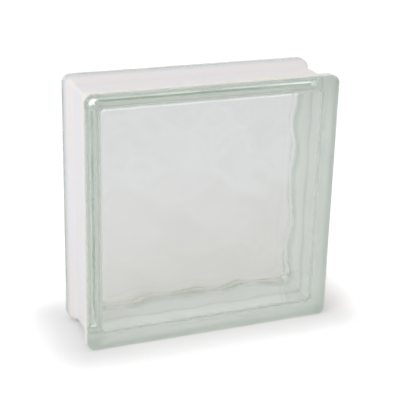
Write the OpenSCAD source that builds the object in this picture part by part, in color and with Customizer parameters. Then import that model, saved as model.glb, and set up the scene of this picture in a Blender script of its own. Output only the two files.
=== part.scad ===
// Hollow glass block: two pressed glass halves fused face to face at mid depth,
// with a white bonding coat on the edges that the mortar grips.
// Origin: bottom centre of the block as it stands on its edge. X is the width,
// Y the depth with the front face at -Y, and Z is up.

/* [Block] */
// Width of the block
block_w = 240; // [180:1:300]
// Height of the block
block_h = 240; // [180:1:300]
// Depth of the block from face to face
block_t = 80; // [66:1:120]
// Radius of the block's four corners, seen from the front
corner_r = 7.5; // [6.5:0.5:16]
// Radius of the rounded rim around each face
rim_r = 3.6; // [2:0.1:4]

/* [Edges] */
// Width of each flat land, from the face to the start of the mortar channel
land_w = 11; // [9:0.5:16]
// Depth of the mortar channel below the lands
channel_d = 5.5; // [3:0.1:5.9]
// Width of the curved slope between a land and the channel floor
slope_w = 16; // [8:0.5:20]
// Clear glass between the front face and the edge of the coat
clear_front = 4.6; // [4.1:0.1:8]
// Clear glass between the back face and the edge of the coat
clear_back = 8.5; // [4.1:0.1:9]
// Thickness of the bonding coat
coat_t = 0.4; // [0.2:0.05:1]
// Height of the clear rim above the coat, which keeps the coat off the floor
coat_recess = 0.1; // [0.05:0.05:0.4]

/* [Glass] */
// Mean thickness of each glass face
pane_t = 8; // [5:0.5:12]
// Glass between a land and the cavity, at the fused seam
wall_t = 12; // [10:0.5:20]
// Narrowing of the cavity from the seam to the face, on each side
cavity_draft = 1.2; // [0.2:0.1:3]
// Radius of the cavity's four corners, seen from the front
cavity_r = 6; // [5:0.5:20]
// Radius of the fillet where the walls meet the face
fillet_r = 4.5; // [2:0.5:4.5]

/* [Waves] */
// Height of the waves inside each face, from trough to crest
wave_height = 1.1; // [0.6:0.1:2.4]
// Distance between the main wave crests
wave_pitch = 38; // [25:1:80]
// Slant of the main waves
wave_slant = 38; // [0:1:90]
// Width over which the waves die out towards the edge of a face
wave_margin = 24; // [6:1:40]

/* [Hidden] */

half_t = block_t / 2;
coat_bed = coat_t + coat_recess; // how far the coated glass lies below the clear rim
arc_steps = 6; // straight steps in each quarter turn of a section
pad_base = 1; // glass of the wave pad that sinks into the plain face
pad_floor = 0.25; // lowest trough of the waves above the plain face
pad_sink = 3; // how far the wave pad reaches into the walls
pad_cells = 34; // wave grid cells along each side of the pad

// Sections are lists of [inset from the block's side, height above the seam].

// S-shaped slope from the channel floor up to the land, in two equal arcs
slope_arc_r = (slope_w * slope_w + channel_d * channel_d) / (4 * channel_d);
slope_turn = 2 * atan(channel_d / slope_w);
slope_rise = [for (i = [0 : arc_steps]) [
    channel_d - slope_arc_r * (1 - cos(slope_turn * i / arc_steps)),
    half_t - land_w - slope_w + slope_arc_r * sin(slope_turn * i / arc_steps)]];
slope_crest = [for (i = [arc_steps - 1 : -1 : 0]) [
    slope_arc_r * (1 - cos(slope_turn * i / arc_steps)),
    half_t - land_w - slope_arc_r * sin(slope_turn * i / arc_steps)]];
channel = concat([[channel_d, 0]], slope_rise, slope_crest);

// Rounded rim from the land to the face
rim = [for (i = [0 : arc_steps]) [
    rim_r * (1 - cos(90 * i / arc_steps)),
    half_t - rim_r * (1 - sin(90 * i / arc_steps))]];

function sunk(section, by) = [for (p = section) [p[0] + by, p[1]]];
function backwards(section) = [for (i = [len(section) - 1 : -1 : 0]) section[i]];
function turned_over(section) = [for (p = backwards(section)) [p[0], -p[1]]];

// Glass under the coat of one half: channel and land, up to the clear rim
function bed(clear) = concat(sunk(channel, coat_bed), [[coat_bed, half_t - clear]]);

// Glass outside one half: bed of the coat, step to the clear rim, rim
function glass_side(clear) = concat(bed(clear), [[0, half_t - clear]], rim);

// Cavity of one half: drafted wall, then the fillet down to the plain face
plain_face = half_t - pane_t + wave_height / 2 + pad_floor;
cavity_side = concat(
    [[wall_t, 0]],
    [for (i = [0 : arc_steps]) [
        wall_t + cavity_draft + fillet_r * (1 - cos(90 * i / arc_steps)),
        plain_face - fillet_r * (1 - sin(90 * i / arc_steps))]]);

// Area that the wave pad covers
pad_w = block_w - 2 * (wall_t + cavity_draft - pad_sink);
pad_h = block_h - 2 * (wall_t + cavity_draft - pad_sink);

function eased(t) = t <= 0 ? 0 : t >= 1 ? 1 : t * t * (3 - 2 * t);

// Slanted waves that wander sideways, crossed by weaker ones, and die out towards the edge
function wave(x, y) =
    let (along = x * cos(wave_slant) + y * sin(wave_slant),
         across = y * cos(wave_slant) - x * sin(wave_slant),
         wander = 55 * sin(360 * across / (2.3 * wave_pitch) + 30),
         margin = min(pad_w / 2 - abs(x), pad_h / 2 - abs(y)) - pad_sink)
    wave_height / 2 * eased(margin / wave_margin)
        * (0.7 * sin(360 * along / wave_pitch + wander)
           + 0.3 * sin(360 * across / (1.4 * wave_pitch) + 80));

// Square ring with rounded corners and a closed section
module rounded_ring(w, h, r, section) {
    for (turn = [0 : 90 : 270]) {
        across = turn % 180 == 0 ? w : h;
        along = (turn % 180 == 0 ? h : w) - 2 * r;
        rotate([0, 0, turn]) {
            translate([0, along / 2, 0])
                rotate([90, 0, 0]) linear_extrude(along)
                    polygon([for (p = section) [across / 2 - p[0], p[1]]]);
            translate([across / 2 - r, along / 2, 0])
                rotate_extrude(angle = 90, $fn = 64) polygon([for (p = section) [r - p[0], p[1]]]);
        }
    }
}

// Square block with rounded corners, filled inside the same section
module rounded_block(w, h, r, side) {
    base = side[0][1];
    top = side[len(side) - 1][1];
    rounded_ring(w, h, r, concat([[r, base]], side, [[r, top]]));
    translate([r - w / 2, r - h / 2, base]) cube([w - 2 * r, h - 2 * r, top - base]);
}

// Wavy inner surface of a face, on a base that sinks into the glass
module wave_pad() {
    n = pad_cells;
    steps = 4 * n; // grid cells round the pad's edge
    base_z = plain_face + pad_base;
    function place(i, j) = [(i / n - 0.5) * pad_w, (j / n - 0.5) * pad_h];
    function at(i, j) = j * (n + 1) + i;
    waves = [for (j = [0 : n], i = [0 : n])
        let (p = place(i, j)) [p[0], p[1], half_t - pane_t - wave(p[0], p[1])]];
    edge = [for (k = [0 : steps - 1])
        let (t = k % n)
        k < n ? [t, 0] : k < 2 * n ? [n, t] : k < 3 * n ? [n - t, n] : [0, n - t]];
    base = [for (e = edge) [each place(e[0], e[1]), base_z]];
    first = len(waves);
    middle = first + steps;
    cells = [for (j = [0 : n - 1], i = [0 : n - 1], half = [0, 1])
        half == 0 ? [at(i, j), at(i + 1, j), at(i + 1, j + 1)]
                  : [at(i, j), at(i + 1, j + 1), at(i, j + 1)]];
    sides = [for (k = [0 : steps - 1], half = [0, 1])
        let (next = (k + 1) % steps,
             here_wave = at(edge[k][0], edge[k][1]),
             next_wave = at(edge[next][0], edge[next][1]))
        half == 0 ? [here_wave, first + k, first + next] : [here_wave, first + next, next_wave]];
    back = [for (k = [0 : steps - 1]) [middle, first + (k + 1) % steps, first + k]];
    polyhedron(concat(waves, base, [[0, 0, base_z]]), concat(cells, sides, back));
}

// One pressed half, seam down and face up
module pressed_half(clear) {
    difference() {
        rounded_block(block_w, block_h, corner_r, glass_side(clear));
        rounded_block(block_w, block_h, wall_t + cavity_draft + cavity_r, cavity_side);
    }
    wave_pad();
}

module front_half() {
    color([0.80, 0.87, 0.83, 0.6])
        translate([0, 0, block_h / 2]) rotate([90, 0, 0]) pressed_half(clear_front);
}

// The same pressing turned about, so its waves cross those of the front
module back_half() {
    color([0.80, 0.87, 0.83, 0.6])
        translate([0, 0, block_h / 2]) rotate([90, 0, 180]) pressed_half(clear_back);
}

// Coat on the lands and in the channel, between the two clear rims
module edge_coating() {
    under = concat(turned_over(bed(clear_back)), bed(clear_front));
    color([0.93, 0.92, 0.93])
        translate([0, 0, block_h / 2]) rotate([90, 0, 0])
            rounded_ring(block_w, block_h, corner_r, concat(sunk(under, -coat_t), backwards(under)));
}

front_half();
back_half();
edge_coating();
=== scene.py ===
"""Looks of a hollow glass block: two pressed halves fused at mid depth, with a white coat on the edges."""
import logging
import math
from dataclasses import dataclass
from enum import Enum
from typing import NamedTuple

import bpy
import numpy as np
from mathutils import Matrix, Vector


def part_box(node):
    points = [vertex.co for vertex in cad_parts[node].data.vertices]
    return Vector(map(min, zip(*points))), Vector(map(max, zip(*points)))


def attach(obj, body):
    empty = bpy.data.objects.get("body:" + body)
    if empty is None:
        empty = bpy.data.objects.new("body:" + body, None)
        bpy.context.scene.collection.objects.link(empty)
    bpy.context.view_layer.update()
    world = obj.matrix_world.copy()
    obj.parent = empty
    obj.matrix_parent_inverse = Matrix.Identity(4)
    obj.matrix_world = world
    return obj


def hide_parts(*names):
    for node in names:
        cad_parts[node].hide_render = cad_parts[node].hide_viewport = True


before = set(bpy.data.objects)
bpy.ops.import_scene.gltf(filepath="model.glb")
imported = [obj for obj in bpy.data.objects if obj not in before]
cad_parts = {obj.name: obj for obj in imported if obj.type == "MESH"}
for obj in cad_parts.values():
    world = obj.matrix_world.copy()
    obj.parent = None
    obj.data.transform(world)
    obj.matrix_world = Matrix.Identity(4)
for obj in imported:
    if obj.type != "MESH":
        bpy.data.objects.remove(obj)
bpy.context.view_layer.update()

log = logging.getLogger("glass_block")

MM = 0.001
BODY = "root"
NOISE_SPAN = (0.3, 0.7)  # nearly every value of a noise pattern lies between these

# Sockets of a Mix node that mixes colours. They go by number, because its other types share their names.
MIX_SHARE, MIX_FIRST, MIX_SECOND, MIX_RESULT = 0, 6, 7, 2

Section = list[tuple[float, float]]  # (inset from the block's side, depth along Y), in metres


# --- Small tools -------------------------------------------------------------------------------------


def linear_colour(hex_code: str) -> tuple[float, float, float, float]:
    """Turns an sRGB hex colour into Blender's linear one.

    Args:
        hex_code: six hex digits, with or without a leading #.

    Returns:
        Red, green, blue and an alpha of 1, linear.
    """
    digits = hex_code.lstrip("#")
    parts = [int(digits[i:i + 2], 16) / 255 for i in (0, 2, 4)]
    toe, gamma = 0.04045, 2.4
    linear = [p / 12.92 if p <= toe else ((p + 0.055) / 1.055) ** gamma for p in parts]
    return (*linear, 1.0)


def add_node(tree: bpy.types.NodeTree, kind: str, settings: dict | None = None,
             inputs: dict | None = None) -> bpy.types.Node:
    """Adds one node, sets it up and links it.

    Args:
        tree: node tree that gets the node.
        kind: Blender's type name of the node.
        settings: attribute names and their values.
        inputs: input names or numbers, each with a value or with the output socket that feeds it.

    Returns:
        The new node.
    """
    node = tree.nodes.new(kind)
    for name, value in (settings or {}).items():
        setattr(node, name, value)
    for name, value in (inputs or {}).items():
        if isinstance(value, bpy.types.NodeSocket):
            tree.links.new(value, node.inputs[name])
        else:
            node.inputs[name].default_value = value
    return node


def new_material(name: str) -> tuple[bpy.types.Material, bpy.types.NodeTree]:
    """Makes a material with an empty node tree.

    Args:
        name: the material's name.

    Returns:
        The material and its node tree.
    """
    material = bpy.data.materials.new(name)
    material.use_nodes = True
    material.node_tree.nodes.clear()
    return material, material.node_tree


def clouds(tree: bpy.types.NodeTree, place: bpy.types.NodeSocket, scale: float,
           depth: float) -> bpy.types.NodeSocket:
    """Adds a soft cloudy pattern about 1.

    Args:
        tree: node tree that gets the nodes.
        place: socket with the place to look up.
        scale: clouds for each unit of length.
        depth: how far the pattern swings to each side of 1.

    Returns:
        The socket with the pattern.
    """
    noise = add_node(tree, "ShaderNodeTexNoise", None, {"Vector": place, "Scale": scale})
    level = add_node(tree, "ShaderNodeMapRange", {"interpolation_type": "SMOOTHSTEP"}, {
        "Value": noise.outputs["Fac"], "From Min": NOISE_SPAN[0], "From Max": NOISE_SPAN[1],
        "To Min": 1 - depth, "To Max": 1 + depth})
    return level.outputs["Result"]


def arc(start_deg: float, end_deg: float, steps: int) -> np.ndarray:
    """Gives evenly spaced angles in radians, both ends included."""
    return np.radians(np.linspace(start_deg, end_deg, steps + 1))


# --- Ring meshes -------------------------------------------------------------------------------------


@dataclass(frozen=True)
class RingLayout:
    """How many steps a rounded-square ring has, the same for every ring of one mesh."""

    corner_steps: int
    side_steps: int

    def points(self, half_w: float, half_h: float, radius: float) -> np.ndarray:
        """Lays out one ring, anticlockwise seen from the front.

        Args:
            half_w: half of the ring's width.
            half_h: half of the ring's height.
            radius: radius of its corners.

        Returns:
            X and Z of each point, about the middle of the block.
        """
        corners = []
        for quarter, (sx, sz) in enumerate(((1, 1), (-1, 1), (-1, -1), (1, -1))):
            turn = arc(90 * quarter, 90 * quarter + 90, self.corner_steps)
            middle = np.array([sx * (half_w - radius), sz * (half_h - radius)])
            corners.append(middle + radius * np.stack([np.cos(turn), np.sin(turn)], axis=1))
        ring = []
        for quarter, corner in enumerate(corners):
            following = corners[(quarter + 1) % len(corners)][0]
            share = np.arange(1, self.side_steps)[:, None] / self.side_steps
            ring += [corner, corner[-1] + share * (following - corner[-1])]
        return np.concatenate(ring)


def rings_to_mesh(name: str, rings: list[np.ndarray], closed: bool, inward: bool = False) -> bpy.types.Mesh:
    """Joins rings of points into one closed surface.

    Args:
        name: the mesh's name.
        rings: rings of X, Y, Z points in order from front to back, or round a section.
        closed: joins the last ring to the first. Otherwise both end rings are capped.
        inward: turns the surface inside out, as the wall of a cavity is.

    Returns:
        The mesh.
    """
    count = len(rings[0])
    here = np.arange(count)
    after = (here + 1) % count
    faces = []
    for k in range(len(rings) if closed else len(rings) - 1):
        a, b = k * count, (k + 1) % len(rings) * count
        quads = np.stack([a + here, b + here, b + after, a + after], axis=1)
        faces += (quads[:, ::-1] if inward else quads).tolist()
    if not closed:
        first = here.tolist()
        last = ((len(rings) - 1) * count + here[::-1]).tolist()
        faces += [first[::-1], last[::-1]] if inward else [first, last]
    mesh = bpy.data.meshes.new(name)
    mesh.from_pydata(np.concatenate(rings).tolist(), [], faces)
    mesh.update()
    return mesh


def add_piece(name: str, meshes: list[bpy.types.Mesh], sharp_deg: float) -> bpy.types.Object:
    """Makes one smooth-shaded object of one or more meshes.

    Args:
        name: the piece's name.
        meshes: meshes that become one.
        sharp_deg: edges that turn more than this stay crisp.

    Returns:
        The object, in the scene.
    """
    joined_mesh = bpy.data.meshes.new(name)
    points, faces = [], []
    for mesh in meshes:
        base = len(points)
        points += [v.co[:] for v in mesh.vertices]
        faces += [[base + i for i in polygon.vertices] for polygon in mesh.polygons]
        bpy.data.meshes.remove(mesh)
    joined_mesh.from_pydata(points, [], faces)
    joined_mesh.shade_smooth()
    joined_mesh.set_sharp_from_angle(angle=math.radians(sharp_deg))
    piece = bpy.data.objects.new(name, joined_mesh)
    bpy.context.scene.collection.objects.link(piece)
    return piece


# --- Finishes ----------------------------------------------------------------------------------------


@dataclass(frozen=True)
class PressedSodaLimeGlass:
    """Soda-lime glass, pressed in a mould and fire-polished: clear, glossy, faintly green in its depth."""

    name: str = "pressed_soda_lime_glass"
    ior: float = 1.52
    roughness: float = 0.0
    skin_tint: str = "#ffffff"  # the polished skin takes nothing out of the light, only the depth does
    depth_tint: str = "#c8e1d1"  # iron in the melt takes a little red and blue out of long paths
    absorption_per_m: float = 2.8
    ripple_mm: float = 26.0  # width of the shallow ripples that the mould leaves on the skin
    ripple_depth_mm: float = 0.002
    ripple_detail: float = 1.0  # finer ripples on each wide one
    ripple_detail_share: float = 0.4  # how much they count

    def material(self) -> bpy.types.Material:
        """Builds the glass, with a rippled skin over a plain absorbing volume.

        Returns:
            The material.
        """
        material, tree = new_material(self.name)
        place = add_node(tree, "ShaderNodeTexCoord")
        ripple = add_node(tree, "ShaderNodeTexNoise", None, {
            "Vector": place.outputs["Object"], "Scale": 1 / (self.ripple_mm * MM),
            "Detail": self.ripple_detail, "Roughness": self.ripple_detail_share})
        bump = add_node(tree, "ShaderNodeBump", None, {
            "Distance": self.ripple_depth_mm * MM, "Height": ripple.outputs["Fac"]})
        skin = add_node(tree, "ShaderNodeBsdfPrincipled", None, {
            "Base Color": linear_colour(self.skin_tint), "Roughness": self.roughness, "IOR": self.ior,
            "Transmission Weight": 1.0, "Normal": bump.outputs["Normal"]})
        depth = add_node(tree, "ShaderNodeVolumeAbsorption", None, {
            "Color": linear_colour(self.depth_tint), "Density": self.absorption_per_m})
        add_node(tree, "ShaderNodeOutputMaterial", None, {
            "Surface": skin.outputs["BSDF"], "Volume": depth.outputs["Volume"]})
        return material


@dataclass(frozen=True)
class SprayPasses:
    """Lengthwise streaks that overlapping passes of a spray gun leave round the block's edges."""

    width_mm: float  # of one pass
    length_mm: float
    detail: float  # finer streaks in each pass
    span: tuple[float, float]  # levels of the noise at which a streak starts and is full
    most: float = 1.0

    def pattern(self, tree: bpy.types.NodeTree, place: bpy.types.NodeSocket) -> bpy.types.NodeSocket:
        """Adds the streaks to a material.

        Args:
            tree: node tree that gets the nodes.
            place: socket with the place on the block, in metres.

        Returns:
            The socket with the pattern, from 0 to most.
        """
        along, across = 1 / (self.length_mm * MM), 1 / (self.width_mm * MM)
        stretch = add_node(tree, "ShaderNodeMapping", None, {
            "Vector": place, "Scale": (along, across, along)})
        noise = add_node(tree, "ShaderNodeTexNoise", None, {
            "Vector": stretch.outputs["Vector"], "Scale": 1.0, "Detail": self.detail})
        level = add_node(tree, "ShaderNodeMapRange", None, {
            "Value": noise.outputs["Fac"], "From Min": self.span[0], "From Max": self.span[1],
            "To Max": self.most})
        return level.outputs["Result"]


@dataclass(frozen=True)
class SprayedBondingCoat:
    """White vinyl bonding coat, put on with a spray gun in lengthwise passes: opaque and matt, with a fine
    dry grain.

    It looks faintly streaked, creamier along the front rim and greyer towards the back.
    """

    name: str = "white_vinyl_bonding_coat"
    white: str = "#e3e3e7"
    warm_white: str = "#e7e2e0"  # thicker passes dry a little warmer than the rest
    back_white: str = "#d1d0d4"  # greyer towards the back edge
    cream: str = "#e6e4de"  # it lies thickest along the front rim
    back_mm: tuple[float, float] = (22.0, 30.0)  # from the seam, where it starts to grey and is greyest
    front_mm: tuple[float, float] = (20.0, 32.0)  # from the seam, where it starts to cream and is creamiest
    roughness: float = 0.62
    ior: float = 1.47
    passes: SprayPasses = SprayPasses(width_mm=9.0, length_mm=90.0, detail=2.0, span=(0.35, 0.65))
    grain_mm: float = 1.6  # overspray grain, drawn a little coarser than the real one so that it shows
    grain_depth_mm: float = 0.05
    grain_detail: float = 3.0
    grain_strength: float = 0.6

    def material(self) -> bpy.types.Material:
        """Builds the coat: streaks and tones of white, and a grain in its surface.

        Returns:
            The material.
        """
        material, tree = new_material(self.name)
        place = add_node(tree, "ShaderNodeTexCoord")
        streaked = add_node(tree, "ShaderNodeMix", {"data_type": "RGBA"}, {
            MIX_SHARE: self.passes.pattern(tree, place.outputs["Object"]),
            MIX_FIRST: linear_colour(self.white), MIX_SECOND: linear_colour(self.warm_white)})
        depth = add_node(tree, "ShaderNodeSeparateXYZ", None, {"Vector": place.outputs["Object"]})
        to_back = add_node(tree, "ShaderNodeMapRange", {"interpolation_type": "SMOOTHSTEP"}, {
            "Value": depth.outputs["Y"], "From Min": self.back_mm[0] * MM, "From Max": self.back_mm[1] * MM})
        to_front = add_node(tree, "ShaderNodeMapRange", {"interpolation_type": "SMOOTHSTEP"}, {
            "Value": depth.outputs["Y"], "From Min": -self.front_mm[0] * MM,
            "From Max": -self.front_mm[1] * MM})
        greyed_to_back = add_node(tree, "ShaderNodeMix", {"data_type": "RGBA"}, {
            MIX_SHARE: to_back.outputs["Result"], MIX_FIRST: streaked.outputs[MIX_RESULT],
            MIX_SECOND: linear_colour(self.back_white)})
        colour = add_node(tree, "ShaderNodeMix", {"data_type": "RGBA"}, {
            MIX_SHARE: to_front.outputs["Result"], MIX_FIRST: greyed_to_back.outputs[MIX_RESULT],
            MIX_SECOND: linear_colour(self.cream)})
        grain = add_node(tree, "ShaderNodeTexNoise", None, {
            "Vector": place.outputs["Object"], "Scale": 1 / (self.grain_mm * MM),
            "Detail": self.grain_detail})
        bump = add_node(tree, "ShaderNodeBump", None, {
            "Strength": self.grain_strength, "Distance": self.grain_depth_mm * MM,
            "Height": grain.outputs["Fac"]})
        skin = add_node(tree, "ShaderNodeBsdfPrincipled", None, {
            "Base Color": colour.outputs[MIX_RESULT], "Roughness": self.roughness, "IOR": self.ior,
            "Normal": bump.outputs["Normal"]})
        add_node(tree, "ShaderNodeOutputMaterial", None, {"Surface": skin.outputs["BSDF"]})
        return material


@dataclass(frozen=True)
class WettedCoatBack:
    """The same coat where it wets the glass, with no air between them. From inside it shows brighter than
    outside: partly its own white, partly painted light for studio light that comes in through the coat.
    """

    name: str = "coat_back_wetted_to_glass"
    # painted light in part: this near-white also stands for studio light that comes in through the coat
    white: str = "#fdfdfc"
    shaded_side_white: str = "#f6f7f5"  # painted shade: darker on the right and bottom edges, which face away from the light at the top left
    shaded_land_white: str = "#e8eae7"  # painted shade: darker still on the lands of those two edges
    pass_grey: str = "#e6e7e5"  # the gaps between passes let a little of the light out
    seam_grey: str = "#dfe2de"  # the fused seam shows through as a soft grey line
    roughness: float = 0.5
    specular: float = 0.0  # without air between them, the coat has no gloss of its own
    passes: SprayPasses = SprayPasses(width_mm=5.0, length_mm=160.0, detail=1.0, span=(0.4, 0.65), most=0.4)
    seam_half_mm: float = 4.5
    light_from: tuple[float, float, float] = (-1.0, 0.0, 1.0)  # the top left, where the light comes from
    shade_mm: tuple[float, float] = (135.0, 105.0)  # height less X, where the painted shade starts and is full
    land_mm: tuple[float, float] = (12.0, 27.0)  # the same for the lands, from the seam

    def material(self) -> bpy.types.Material:
        """Builds the back of the coat, with painted shade on its right and bottom edges, its passes and the
        line of the seam.

        Returns:
            The material.
        """
        material, tree = new_material(self.name)
        place = add_node(tree, "ShaderNodeTexCoord")
        # Painted shade: the back of the coat is darker on the right and bottom edges, away from the light at
        # the top left, and darker still on their lands.
        towards_light = add_node(tree, "ShaderNodeVectorMath", {"operation": "DOT_PRODUCT"}, {
            0: place.outputs["Object"], 1: self.light_from})
        shaded_share = add_node(tree, "ShaderNodeMapRange", {"interpolation_type": "SMOOTHSTEP"}, {
            "Value": towards_light.outputs["Value"], "From Min": self.shade_mm[0] * MM,
            "From Max": self.shade_mm[1] * MM})
        depth = add_node(tree, "ShaderNodeSeparateXYZ", None, {"Vector": place.outputs["Object"]})
        off_seam = add_node(tree, "ShaderNodeMath", {"operation": "ABSOLUTE"}, {0: depth.outputs["Y"]})
        land = add_node(tree, "ShaderNodeMapRange", {"interpolation_type": "SMOOTHSTEP"}, {
            "Value": off_seam.outputs["Value"], "From Min": self.land_mm[0] * MM,
            "From Max": self.land_mm[1] * MM})
        shaded_tone = add_node(tree, "ShaderNodeMix", {"data_type": "RGBA"}, {
            MIX_SHARE: land.outputs["Result"], MIX_FIRST: linear_colour(self.shaded_side_white),
            MIX_SECOND: linear_colour(self.shaded_land_white)})
        side_lit_tone = add_node(tree, "ShaderNodeMix", {"data_type": "RGBA"}, {
            MIX_SHARE: shaded_share.outputs["Result"], MIX_FIRST: linear_colour(self.white),
            MIX_SECOND: shaded_tone.outputs[MIX_RESULT]})
        streaked = add_node(tree, "ShaderNodeMix", {"data_type": "RGBA"}, {
            MIX_SHARE: self.passes.pattern(tree, place.outputs["Object"]),
            MIX_FIRST: side_lit_tone.outputs[MIX_RESULT], MIX_SECOND: linear_colour(self.pass_grey)})
        seam = add_node(tree, "ShaderNodeMapRange", {"interpolation_type": "SMOOTHSTEP"}, {
            "Value": off_seam.outputs["Value"], "From Min": self.seam_half_mm * MM, "From Max": 0.0})
        colour = add_node(tree, "ShaderNodeMix", {"data_type": "RGBA"}, {
            MIX_SHARE: seam.outputs["Result"], MIX_FIRST: streaked.outputs[MIX_RESULT],
            MIX_SECOND: linear_colour(self.seam_grey)})
        skin = add_node(tree, "ShaderNodeBsdfPrincipled", None, {
            "Base Color": colour.outputs[MIX_RESULT], "Roughness": self.roughness,
            "Specular IOR Level": self.specular})
        add_node(tree, "ShaderNodeOutputMaterial", None, {"Surface": skin.outputs["BSDF"]})
        return material


@dataclass(frozen=True)
class MattStudioTable:
    """White acrylic table, cast matt and lit a little from below, so that only soft shadows show on it.

    Seen directly it is exposed to white, as the backdrop is. The glass gets a lower level of light from it.
    """

    footprint: tuple[float, float, float]  # half sizes of the patch that the block covers
    name: str = "matt_white_acrylic"
    paint: str = "#b4b4b3"
    near_light: str = "#888881"  # light from below, beside the block
    far_light: str = "#949698"  # and well away from it, where it is a little stronger and cooler
    far_by: float = 0.4
    cloud_scale: float = 13.0  # per metre
    cloud_depth: float = 0.06
    exposed_white: str = "#ededed"
    clear_by: float = 0.08  # distance from the block at which the exposure has lost every shadow
    near_glow: float = 0.01
    far_glow: float = 0.5

    def material(self) -> bpy.types.Material:
        """Builds the table, with the level that the glass sees and the exposed one that the camera sees.

        Returns:
            The material.
        """
        material, tree = new_material(self.name)
        path = add_node(tree, "ShaderNodeLightPath")
        place = add_node(tree, "ShaderNodeTexCoord")
        side = add_node(tree, "ShaderNodeVectorMath", {"operation": "ABSOLUTE"}, {
            0: place.outputs["Object"]})
        past = add_node(tree, "ShaderNodeVectorMath", {"operation": "SUBTRACT"}, {
            0: side.outputs["Vector"], 1: self.footprint})
        outside = add_node(tree, "ShaderNodeVectorMath", {"operation": "MAXIMUM"}, {
            0: past.outputs["Vector"]})
        apart = add_node(tree, "ShaderNodeVectorMath", {"operation": "LENGTH"}, {
            0: outside.outputs["Vector"]})
        away = add_node(tree, "ShaderNodeMapRange", None, {
            "Value": apart.outputs["Value"], "From Max": self.far_by})
        light = add_node(tree, "ShaderNodeMix", {"data_type": "RGBA"}, {
            MIX_SHARE: away.outputs["Result"], MIX_FIRST: linear_colour(self.near_light),
            MIX_SECOND: linear_colour(self.far_light)})
        below = add_node(tree, "ShaderNodeEmission", None, {
            "Color": light.outputs[MIX_RESULT],
            "Strength": clouds(tree, place.outputs["Object"], self.cloud_scale, self.cloud_depth)})
        sheet = add_node(tree, "ShaderNodeBsdfDiffuse", None, {"Color": linear_colour(self.paint)})
        table = add_node(tree, "ShaderNodeAddShader", None, {
            0: sheet.outputs["BSDF"], 1: below.outputs["Emission"]})
        cleared = add_node(tree, "ShaderNodeMapRange", {"interpolation_type": "SMOOTHSTEP"}, {
            "Value": apart.outputs["Value"], "From Max": self.clear_by, "To Min": self.near_glow,
            "To Max": self.far_glow})
        glow = add_node(tree, "ShaderNodeEmission", None, {"Strength": cleared.outputs["Result"]})
        white = add_node(tree, "ShaderNodeBsdfDiffuse", None, {"Color": linear_colour(self.exposed_white)})
        exposed = add_node(tree, "ShaderNodeAddShader", None, {
            0: white.outputs["BSDF"], 1: glow.outputs["Emission"]})
        seen = add_node(tree, "ShaderNodeMixShader", None, {
            0: path.outputs["Is Camera Ray"], 1: table.outputs["Shader"], 2: exposed.outputs["Shader"]})
        add_node(tree, "ShaderNodeOutputMaterial", None, {"Surface": seen.outputs["Shader"]})
        return material


# --- The block ---------------------------------------------------------------------------------------


class Face(Enum):
    """The two glass faces, each with the side of the seam that it is on."""

    FRONT = -1
    BACK = 1


@dataclass(frozen=True)
class BlockSizes:
    """Sizes of the block. The overall ones come from the frame, the rest are those of the CAD model."""

    width: float
    height: float
    depth: float
    corner_r: float = 7.5 * MM
    rim_r: float = 3.6 * MM
    land_w: float = 11 * MM
    channel_d: float = 5.5 * MM
    slope_w: float = 16 * MM
    slope_steps: int = 10  # mesh steps in each of a slope's two arcs
    clear_front: float = 4.6 * MM
    clear_back: float = 8.5 * MM
    coat_t: float = 0.4 * MM
    coat_recess: float = 0.1 * MM
    pane_t: float = 8 * MM
    wall_t: float = 12 * MM
    cavity_draft: float = 1.2 * MM
    cavity_r: float = 6 * MM
    fillet_r: float = 4.5 * MM

    @classmethod
    def from_frame(cls) -> "BlockSizes":
        """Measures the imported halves.

        Returns:
            The sizes, with the overall ones as packed.
        """
        low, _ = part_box("front_half")
        _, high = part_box("back_half")
        return cls(high.x - low.x, high.z - low.z, high.y - low.y)

    @property
    def coat_bed(self) -> float:
        """How far the glass under the coat lies below the clear rim."""
        return self.coat_t + self.coat_recess

    @property
    def cavity_foot(self) -> float:
        """How far in from the block's sides the cavity's walls would meet the face, without the fillet."""
        return self.wall_t + self.cavity_draft

    @property
    def cavity_corner_r(self) -> float:
        """Radius that the cavity's corners would have if they were carried out to the block's sides."""
        return self.cavity_foot + self.cavity_r

    def channel(self, sunk: float) -> Section:
        """Follows the edge from the front land, down the slope to the seam.

        Args:
            sunk: how far the whole line lies below the clear rim.

        Returns:
            The line's points, ending on the seam.
        """
        radius = (self.slope_w ** 2 + self.channel_d ** 2) / (4 * self.channel_d)
        turn = np.linspace(0, 2 * math.atan(self.channel_d / self.slope_w), self.slope_steps + 1)
        crest = [(sunk + radius * (1 - math.cos(t)), self.land_w + radius * math.sin(t)) for t in turn]
        foot = [(sunk + self.channel_d - radius * (1 - math.cos(t)),
                 self.land_w + self.slope_w - radius * math.sin(t)) for t in turn[-2::-1]]
        half = self.depth / 2
        return [(inset, y - half) for inset, y in crest + foot] + [(sunk + self.channel_d, 0.0)]

    def outline(self, layout: RingLayout, inset: float, corner_r: float) -> np.ndarray:
        """Lays out X and Z of a ring, inset from the sides. At the sides its corners would have corner_r."""
        return layout.points(self.width / 2 - inset, self.height / 2 - inset, corner_r - inset)

    def stood_up(self, flat: np.ndarray, y: float | np.ndarray) -> np.ndarray:
        """Stands a ring of X and Z up in the block, at one depth or at one for each of its points."""
        return np.column_stack([flat[:, 0], np.broadcast_to(y, len(flat)), flat[:, 1] + self.height / 2])


def joined(front: Section, back: Section) -> Section:
    """Carries on a line that ends on the seam with another one, which is turned over to the back."""
    return front + [(inset, -y) for inset, y in back[-2::-1]]


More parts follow.
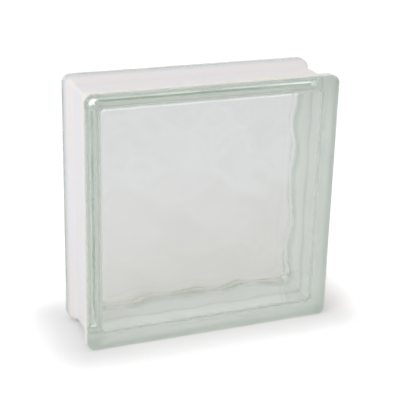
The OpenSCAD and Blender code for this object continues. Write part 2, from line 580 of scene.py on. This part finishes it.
@dataclass(frozen=True)
class FaceWaves:
    """Cloudy relief pressed inside each face: slanted waves that wander, crossed by weaker ones."""

    height: float = 1.1 * MM
    pitch: float = 38 * MM
    slant: float = math.radians(38)
    wander: float = math.radians(55)  # how far the main waves lead and lag along their crests
    wander_pitches: float = 2.3  # length of one such swing, in pitches
    wander_start: float = math.radians(30)
    cross_share: float = 0.3  # of the height that the weaker waves have
    cross_pitches: float = 1.4
    cross_start: float = math.radians(80)
    margin: float = 24 * MM  # the waves die out over this width towards the edge

    def at(self, x: np.ndarray, z: np.ndarray, face: Face) -> np.ndarray:
        """Gives the relief's shape, before it dies out towards the edge.

        Args:
            x: places across the block.
            z: places up the block, from its middle.
            face: the face. The back one is the same pressing turned about.

        Returns:
            Height towards the cavity, from -1 to 1.
        """
        side = x if face is Face.FRONT else -x
        along = side * math.cos(self.slant) + z * math.sin(self.slant)
        across = z * math.cos(self.slant) - side * math.sin(self.slant)
        turn = 2 * math.pi / self.pitch
        lead = self.wander * np.sin(turn * across / self.wander_pitches + self.wander_start)
        main = np.sin(turn * along + lead)
        cross = np.sin(turn * across / self.cross_pitches + self.cross_start)
        return (1 - self.cross_share) * main + self.cross_share * cross

    def relief(self, x: np.ndarray, z: np.ndarray, face: Face, reach: tuple[float, float]) -> np.ndarray:
        """Gives the relief's height over the mean face.

        Args:
            x: places across the block.
            z: places up the block, from its middle.
            face: the face.
            reach: half of the cavity's width and of its height at the face.

        Returns:
            Height towards the cavity, in metres.
        """
        margin = np.minimum(reach[0] - np.abs(x), reach[1] - np.abs(z))
        share = np.clip(margin / self.margin, 0, 1)
        return self.height / 2 * share ** 2 * (3 - 2 * share) * self.at(x, z, face)


class CavityStep(NamedTuple):
    """One step along the cavity's section, which becomes one ring of its wall."""

    inset: float  # from the block's sides
    depth: float  # from the seam
    scale: float = 1.0  # of the whole ring about the middle of the face
    wander: float = 1.0  # share of the edge's wander that the ring takes


@dataclass
class GlassBody:
    """Both pressed halves, fused into one hollow piece of glass."""

    sizes: BlockSizes
    waves: FaceWaves
    finish: PressedSodaLimeGlass
    outer_layout: RingLayout = RingLayout(corner_steps=12, side_steps=4)
    cavity_layout: RingLayout = RingLayout(corner_steps=10, side_steps=80)
    flat_border: float = 2 * MM  # ring on the flat face that keeps the rim's shading off it
    rim_steps: int = 8
    pane_rings: int = 36
    fillet_steps: int = 36
    wall_rings: int = 9
    edge_wander: float = 1.6 * MM  # how far the waves push the back face's edge in and out
    wander_height: float = 9 * MM  # that dies out up the wall over this height
    bead_height: float = 0.2 * MM  # glass squeezed out of the seam as the halves fused
    bead_width: float = 1.6 * MM
    bead_steps: int = 6
    bead_drift: float = 0.4 * MM  # how far the bead strays from mid depth
    drift_turns: tuple[int, int] = (5, 13)  # slow and quick swings of it in one round
    drift_start: float = 1.0
    quick_share: float = 0.6  # size of a quick swing beside a slow one
    sharp_deg: float = 32.0

    def outer_half(self, clear: float) -> Section:
        """Follows the outside of one half, from its face to the seam.

        Args:
            clear: width of the clear rim between the face and the coat.

        Returns:
            The line's points, with the face turned to the front.
        """
        s, half = self.sizes, self.sizes.depth / 2
        flat = [(s.rim_r + self.flat_border, -half)]
        rim = [(s.rim_r * (1 - math.cos(t)), s.rim_r * (1 - math.sin(t)) - half)
               for t in arc(90, 0, self.rim_steps)]
        step = [(0.0, clear - half), (s.coat_bed, clear - half)]
        return flat + rim + step + s.channel(s.coat_bed)

    def outer_mesh(self) -> bpy.types.Mesh:
        """Builds the outer skin.

        Returns:
            The mesh, capped by the two flat faces.
        """
        s = self.sizes
        section = joined(self.outer_half(s.clear_front), self.outer_half(s.clear_back))
        rings = [s.stood_up(s.outline(self.outer_layout, inset, s.corner_r), y) for inset, y in section]
        return rings_to_mesh("outer_skin", rings, closed=False)

    def cavity_section(self) -> list[CavityStep]:
        """Follows the cavity from the middle of a face, round the fillet and along the drafted wall.

        Returns:
            The steps in order, the last one just short of the seam.
        """
        s = self.sizes
        face_depth = s.depth / 2 - s.pane_t
        pane = [CavityStep(s.cavity_foot + s.fillet_r, face_depth, scale=(k + 1) / (self.pane_rings + 1))
                for k in range(self.pane_rings)]
        fillet = [CavityStep(s.cavity_foot + s.fillet_r * (1 - math.sin(t)),
                             face_depth - s.fillet_r * (1 - math.cos(t)))
                  for t in arc(0, 90, self.fillet_steps)]
        wall_depth = face_depth - s.fillet_r
        wall = []
        for k in range(1, self.wall_rings + 1):
            share = k / (self.wall_rings + 1)
            depth = wall_depth * (1 - share) + self.bead_width * share
            inset = s.wall_t + s.cavity_draft * depth / wall_depth
            left = max(0.0, 1 - (wall_depth - depth) / self.wander_height)
            wall.append(CavityStep(inset, depth, wander=left))
        return pane + fillet + wall

    def cavity_half(self, face: Face) -> list[np.ndarray]:
        """Builds the cavity's rings on one side of the seam, from the middle of the face outwards.

        Args:
            face: the face that closes this half.

        Returns:
            Rings of X, Y, Z points, the last one just short of the seam.
        """
        s = self.sizes
        reach = (s.width / 2 - s.cavity_foot, s.height / 2 - s.cavity_foot)
        rings = []
        for step in self.cavity_section():
            edge = s.outline(self.cavity_layout, step.inset, s.cavity_corner_r)
            flat = step.scale * edge
            if face is Face.BACK:
                push = self.edge_wander * step.wander * self.waves.at(*edge.T, face)
                flat = flat * (1 - push / reach[0])[:, None]
            relief = self.waves.relief(flat[:, 0], flat[:, 1], face, reach)
            rings.append(s.stood_up(flat, face.value * (step.depth - relief)))
        return rings

    def seam_bead(self) -> list[np.ndarray]:
        """Builds the low bead of glass round the inside of the seam, a little uneven along its length.

        Returns:
            Rings of X, Y, Z points, from front to back.
        """
        s = self.sizes
        slow, quick = self.drift_turns
        rings = []
        for t in arc(-90, 90, self.bead_steps):
            inset = s.wall_t + self.bead_height * math.cos(t)
            flat = s.outline(self.cavity_layout, inset, s.cavity_corner_r)
            run = np.arctan2(flat[:, 1], flat[:, 0])
            swing = np.sin(slow * run + self.drift_start) + self.quick_share * np.sin(quick * run)
            rings.append(s.stood_up(flat, self.bead_width / 2 * math.sin(t) + self.bead_drift * swing))
        return rings

    def cavity_mesh(self) -> bpy.types.Mesh:
        """Builds the wall of the sealed cavity.

        Returns:
            The mesh, facing into the cavity.
        """
        front = self.cavity_half(Face.FRONT)
        back = self.cavity_half(Face.BACK)
        return rings_to_mesh("cavity_wall", front + self.seam_bead() + back[::-1], closed=False, inward=True)

    def build(self) -> bpy.types.Object:
        """Makes the glass and dresses it.

        Returns:
            The glass piece, standing for both CAD halves.
        """
        piece = add_piece("fused_glass", [self.outer_mesh(), self.cavity_mesh()], self.sharp_deg)
        piece.data.materials.append(self.finish.material())
        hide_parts("front_half", "back_half")
        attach(piece, BODY)
        return piece


@dataclass
class EdgeCoat:
    """The bonding coat on the four edges, between the two clear rims."""

    sizes: BlockSizes
    finish: SprayedBondingCoat
    back_finish: WettedCoatBack
    layout: RingLayout = RingLayout(corner_steps=12, side_steps=60)
    bite: float = 0.05 * MM  # the coat keys into the glass, so that no film of air is left between them
    sharp_deg: float = 40.0

    def line(self, sunk: float) -> Section:
        """Follows one skin of the coat, from its front edge to its back edge.

        Args:
            sunk: how far the skin lies below the clear rims.

        Returns:
            The line's points.
        """
        s, half = self.sizes, self.sizes.depth / 2
        front, back = [[(sunk, clear - self.bite - half)] for clear in (s.clear_front, s.clear_back)]
        return joined(front + s.channel(sunk), back + s.channel(sunk))

    def build(self) -> bpy.types.Object:
        """Makes the coat and dresses its outside and its back.

        Returns:
            The coat piece.
        """
        s = self.sizes
        skin, back = self.line(s.coat_recess), self.line(s.coat_bed + self.bite)
        rings = [s.stood_up(s.outline(self.layout, inset, s.corner_r), y) for inset, y in skin + back[::-1]]
        piece = add_piece("edge_coat", [rings_to_mesh("coat", rings, closed=True)], self.sharp_deg)
        outside, inside = 0, 1  # slots, in the order in which the finishes are added
        for finish in (self.finish, self.back_finish):
            piece.data.materials.append(finish.material())
        outside_faces = (len(skin) - 1) * len(rings[0])
        for polygon in piece.data.polygons:
            polygon.material_index = outside if polygon.index < outside_faces else inside
        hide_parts("edge_coating")
        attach(piece, BODY)
        return piece


# --- The studio --------------------------------------------------------------------------------------


@dataclass(frozen=True)
class Softbox:
    """One soft studio light."""

    name: str
    place: tuple[float, float, float]
    side: float
    watts: float
    colour: str

    def build(self, aim: Vector) -> None:
        """Hangs the light and turns it to the block.

        Args:
            aim: the point that it looks at.
        """
        lamp = bpy.data.lights.new(self.name, "AREA")
        lamp.shape = "SQUARE"
        lamp.size = self.side
        lamp.energy = self.watts
        lamp.color = linear_colour(self.colour)[:3]
        holder = bpy.data.objects.new(self.name, lamp)
        holder.location = self.place
        holder.rotation_euler = (aim - Vector(self.place)).to_track_quat("-Z", "Y").to_euler()
        bpy.context.scene.collection.objects.link(holder)


@dataclass
class Studio:
    """Pale table, a white sweep that is lit from all round, three soft lights and the camera.

    The spans of the sweep are parts of the direction looked in, from -1 to 1, where a change starts and
    where it is complete.
    """

    sizes: BlockSizes
    table_side: float = 12.0
    backdrop: str = "#ffffff"
    sweep_side: str = "#e0e0e1"  # the paper sweep behind the block, as the glass and the coat see it
    camera_side: str = "#d6d6d6"  # the darker room behind the camera
    side_span: tuple[float, float] = (-0.7, 0.3)  # Y, from the room to the sweep
    backlight: float = 0.75  # how much brighter the foot of the sweep is, straight behind the block
    foot_span: tuple[float, float] = (0.55, 0.25)  # Z, down to the foot
    behind_span: tuple[float, float] = (0.3, 0.8)  # Y, round to straight behind
    cloud_scale: float = 14.0  # the sweep is lit a little unevenly, which the wavy glass turns into clouds
    cloud_depth: float = 0.07
    lights: tuple[Softbox, ...] = (
        Softbox("key_softbox", (-1.4, -0.7, 0.95), 1.2, 11.8, "#fbfbff"),
        Softbox("fill_softbox", (1.4, -0.4, 1.3), 1.2, 3.5, "#fff4ec"),
        Softbox("top_softbox", (0.1, 0.3, 1.9), 1.2, 1.0, "#ffe0bc"),
    )
    lens_mm: float = 100.5
    azimuth_deg: float = -22.17
    elevation_deg: float = 20.95
    roll_deg: float = 1.46
    distance: float = 1.0451
    aim: tuple[float, float, float] = (0.0012, 0.0, 0.1189)
    clip: tuple[float, float] = (0.05, 50.0)  # nearest and furthest that the camera sees
    film_softness: float = 2.2  # a little over the usual 1.5, so that hairlines in the glass break up less
    light_bounces: int = 48  # light trapped in the glass turns many times before it comes out

    def add_camera(self) -> None:
        """Sets the camera before the front left corner, a little above the block."""
        azimuth, elevation = math.radians(self.azimuth_deg), math.radians(self.elevation_deg)
        roll = math.radians(self.roll_deg)
        back = Vector((math.sin(azimuth) * math.cos(elevation), -math.cos(azimuth) * math.cos(elevation),
                       math.sin(elevation)))
        level = Vector((math.cos(azimuth), math.sin(azimuth), 0.0))
        upright = back.cross(level)
        right = level * math.cos(roll) + upright * math.sin(roll)
        up = upright * math.cos(roll) - level * math.sin(roll)
        lens = bpy.data.cameras.new("camera")
        lens.lens = self.lens_mm
        lens.clip_start, lens.clip_end = self.clip
        camera = bpy.data.objects.new("camera", lens)
        turn = Matrix((right, up, back)).transposed().to_4x4()
        camera.matrix_world = Matrix.Translation(Vector(self.aim) + back * self.distance) @ turn
        bpy.context.scene.collection.objects.link(camera)
        bpy.context.scene.camera = camera

    def add_table(self) -> None:
        """Puts the table under the block."""
        reach = self.table_side / 2
        corners = [(sx * reach, sy * reach, 0.0) for sx, sy in ((-1, -1), (1, -1), (1, 1), (-1, 1))]
        mesh = bpy.data.meshes.new("studio_floor")
        mesh.from_pydata(corners, [], [(0, 1, 2, 3)])
        table = bpy.data.objects.new("studio_floor", mesh)
        covered = (self.sizes.width / 2, self.sizes.depth / 2, 0.0)
        table.data.materials.append(MattStudioTable(covered).material())
        bpy.context.scene.collection.objects.link(table)

    def add_sky(self) -> None:
        """Lights the studio softly from all round, before a backdrop that is exposed to white."""
        world = bpy.data.worlds.new("studio")
        world.use_nodes = True
        tree = world.node_tree
        tree.nodes.clear()
        path = add_node(tree, "ShaderNodeLightPath")
        place = add_node(tree, "ShaderNodeTexCoord")
        way = add_node(tree, "ShaderNodeSeparateXYZ", None, {"Vector": place.outputs["Generated"]})
        to_sweep = add_node(tree, "ShaderNodeMapRange", {"interpolation_type": "SMOOTHSTEP"}, {
            "Value": way.outputs["Y"], "From Min": self.side_span[0], "From Max": self.side_span[1]})
        room = add_node(tree, "ShaderNodeMix", {"data_type": "RGBA"}, {
            MIX_SHARE: to_sweep.outputs["Result"], MIX_FIRST: linear_colour(self.camera_side),
            MIX_SECOND: linear_colour(self.sweep_side)})
        foot = add_node(tree, "ShaderNodeMapRange", {"interpolation_type": "SMOOTHSTEP"}, {
            "Value": way.outputs["Z"], "From Min": self.foot_span[0], "From Max": self.foot_span[1],
            "To Max": self.backlight})
        behind = add_node(tree, "ShaderNodeMapRange", {"interpolation_type": "SMOOTHSTEP"}, {
            "Value": way.outputs["Y"], "From Min": self.behind_span[0], "From Max": self.behind_span[1]})
        level = add_node(tree, "ShaderNodeMath", {"operation": "MULTIPLY_ADD"}, {
            0: foot.outputs["Result"], 1: behind.outputs["Result"],
            2: clouds(tree, place.outputs["Generated"], self.cloud_scale, self.cloud_depth)})
        soft = add_node(tree, "ShaderNodeBackground", None, {
            "Color": room.outputs[MIX_RESULT], "Strength": level.outputs["Value"]})
        white = add_node(tree, "ShaderNodeBackground", None, {"Color": linear_colour(self.backdrop)})
        seen = add_node(tree, "ShaderNodeMixShader", None, {
            0: path.outputs["Is Camera Ray"], 1: soft.outputs["Background"], 2: white.outputs["Background"]})
        add_node(tree, "ShaderNodeOutputWorld", None, {"Surface": seen.outputs["Shader"]})
        bpy.context.scene.world = world

    def build(self) -> None:
        """Sets up the whole studio."""
        scene = bpy.context.scene
        scene.view_settings.view_transform = "Standard"
        scene.cycles.max_bounces = self.light_bounces
        scene.cycles.diffuse_bounces = self.light_bounces
        scene.cycles.glossy_bounces = self.light_bounces
        scene.cycles.transmission_bounces = self.light_bounces
        scene.cycles.blur_glossy = 0.0  # blurred reflections would let the trapped light fade away
        scene.cycles.filter_width = self.film_softness
        self.add_camera()
        self.add_table()
        self.add_sky()
        for light in self.lights:
            light.build(Vector((0.0, 0.0, self.sizes.height / 2)))


def main() -> None:
    """Builds the block and its studio."""
    logging.basicConfig(level=logging.INFO, format="%(name)s: %(message)s")
    sizes = BlockSizes.from_frame()
    builders = (
        GlassBody(sizes, FaceWaves(), PressedSodaLimeGlass()),
        EdgeCoat(sizes, SprayedBondingCoat(), WettedCoatBack()),
    )
    for builder in builders:
        piece = builder.build()
        log.info("%s: %d faces", piece.name, len(piece.data.polygons))
    Studio(sizes).build()
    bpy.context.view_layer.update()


if __name__ == "__main__":
    main()
